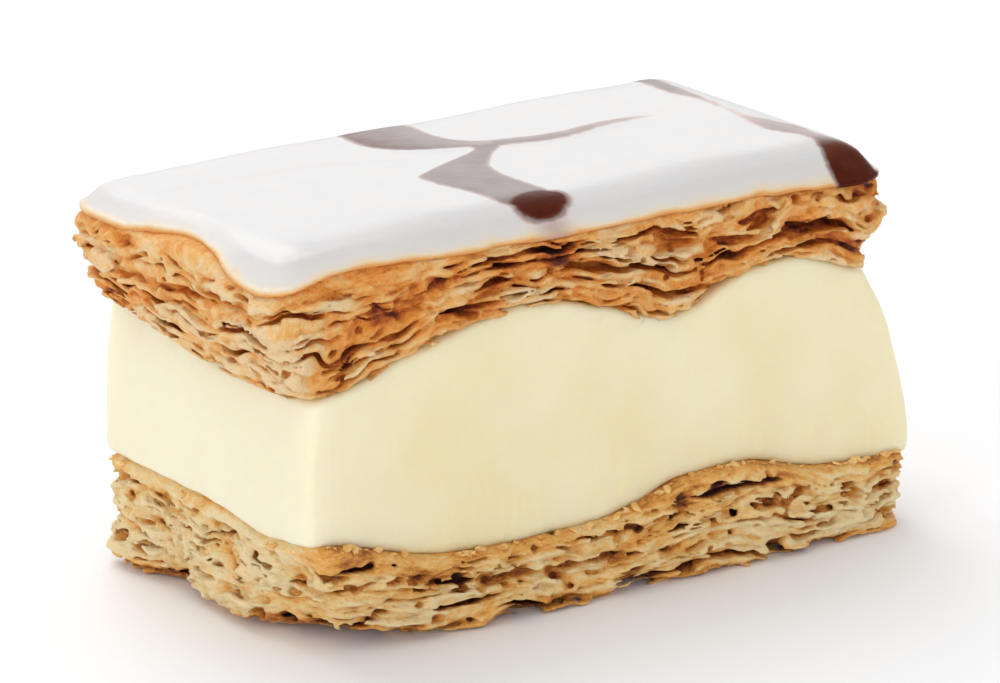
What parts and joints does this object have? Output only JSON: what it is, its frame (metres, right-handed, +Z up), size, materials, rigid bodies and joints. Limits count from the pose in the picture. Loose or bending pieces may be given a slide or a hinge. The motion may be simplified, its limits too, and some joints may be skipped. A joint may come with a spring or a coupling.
{
  "type": "mille-feuille",
  "caption": "Custard slice: thick set vanilla custard between two flaky puff pastry slabs, white fondant icing with dragged chocolate lines.",
  "frame": {"origin": "under the middle of the slice's bounding box, on the table", "axes": "+X along the long side towards the slumped end, +Z up through the icing, the near cut side faces -Y"},
  "size_m": [0.0978, 0.0512, 0.0514],
  "materials": {
    "pale_pastry": "matte",
    "custard": "satin",
    "golden_pastry": "matte",
    "fondant": "glossy"
  },
  "bodies": {
    "root": {"bottom_pastry": "pale_pastry", "custard": "custard", "top_pastry": "golden_pastry", "icing": "fondant"}
  },
  "joints": []
}
